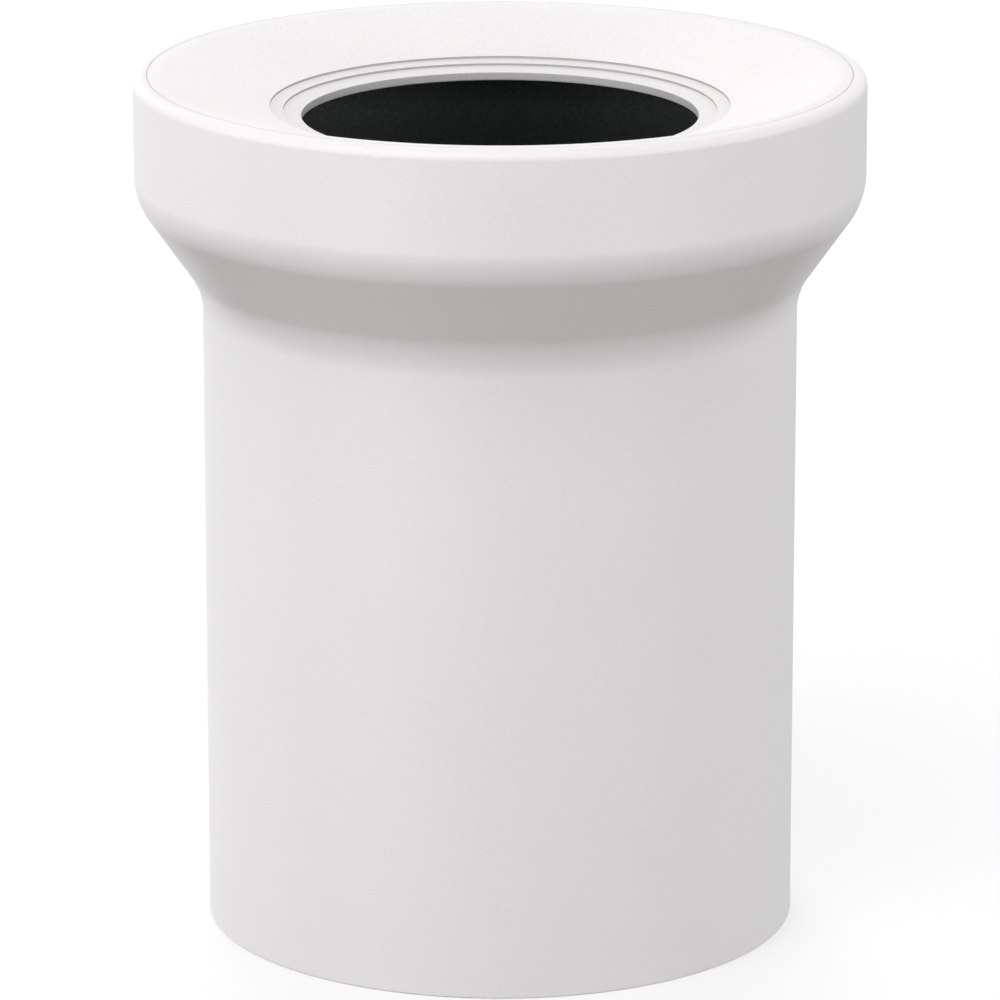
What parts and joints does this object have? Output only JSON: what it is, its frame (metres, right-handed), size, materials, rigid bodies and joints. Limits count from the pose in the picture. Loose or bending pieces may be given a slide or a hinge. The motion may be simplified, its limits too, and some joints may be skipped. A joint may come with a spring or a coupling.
{
  "type": "toilet pan connector",
  "caption": "Straight moulded pan connector: a plain soil pipe spigot, a flared collar and a soft stepped lip seal in its mouth that grips a toilet's outlet.",
  "frame": {"origin": "centre of the spigot's lower end, on the axis", "axes": "+Z along the axis from the spigot up to the collar's mouth; the part is round, so +X and +Y are free"},
  "size_m": [0.1348, 0.1348, 0.1605],
  "materials": {
    "white_polypropylene": "matte",
    "white_seal_rubber": "matte"
  },
  "bodies": {
    "root": {"sleeve": "white_polypropylene", "lip_seal": "white_seal_rubber"}
  },
  "joints": []
}
